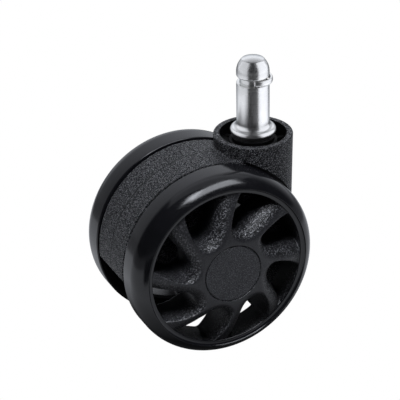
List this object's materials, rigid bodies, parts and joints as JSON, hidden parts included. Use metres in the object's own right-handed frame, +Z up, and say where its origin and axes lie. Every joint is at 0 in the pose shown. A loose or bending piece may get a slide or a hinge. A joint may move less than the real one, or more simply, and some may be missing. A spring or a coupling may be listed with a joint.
{
  "type": "chair caster wheel",
  "caption": "Twin-wheel office chair caster with a hooded housing, bladed wheel cores, glossy tyres and a grip-ring stem.",
  "frame": {"origin": "on the stem's axis, where the straight shank leaves the flange", "axes": "+Z up along the stem; the axle runs along Y; the wheels trail towards -X; the near wheel is at -Y"},
  "size_m": [0.0663, 0.0534, 0.0952],
  "materials": {
    "plated_steel": "bright zinc plate, satin",
    "washer_steel": "plain zinc plate",
    "spring_steel": "polished spring steel",
    "axle_steel": "ground steel",
    "housing_plastic": "fine spark texture",
    "wheel_plastic": "fine spark texture",
    "cap_plastic": "fine spark texture",
    "tyre_polyurethane": "glossy moulded polyurethane",
    "bush_nylon": "natural nylon",
    "washer_nylon": "black nylon"
  },
  "bodies": {
    "stem": {"stem": "plated_steel", "thrust_washer": "washer_steel", "stem_clip": "spring_steel"},
    "grip_ring": {"grip_ring": "spring_steel"},
    "fork": {"fork_housing": "housing_plastic", "socket_bush": "bush_nylon", "axle": "axle_steel", "spacer_washer_near": "washer_nylon", "outer_washer_near": "washer_steel", "axle_clip_near": "spring_steel", "spacer_washer_far": "washer_nylon", "outer_washer_far": "washer_steel", "axle_clip_far": "spring_steel"},
    "wheel_near": {"wheel_core_near": "wheel_plastic", "tyre_near": "tyre_polyurethane", "wheel_bush_near": "bush_nylon", "hub_cap_near": "cap_plastic"},
    "wheel_far": {"wheel_core_far": "wheel_plastic", "tyre_far": "tyre_polyurethane", "wheel_bush_far": "bush_nylon", "hub_cap_far": "cap_plastic"}
  },
  "joints": [
    {"name": "grip_ring_slide", "type": "slide", "parent": "stem", "child": "grip_ring", "axis": [-0.9063, 0.4226, 0], "range_m": [0, 0.0011], "stiffness_N_per_m": 200},
    {"name": "swivel", "type": "hinge", "parent": "stem", "child": "fork", "pos_m": [0, 0, 0], "axis": [0, 0, 1], "continuous": true},
    {"name": "wheel_near_spin", "type": "hinge", "parent": "fork", "child": "wheel_near", "pos_m": [-0.0205, 0, -0.0395], "axis": [0, 1, 0], "continuous": true},
    {"name": "wheel_far_spin", "type": "hinge", "parent": "fork", "child": "wheel_far", "pos_m": [-0.0205, 0, -0.0395], "axis": [0, 1, 0], "continuous": true}
  ]
}
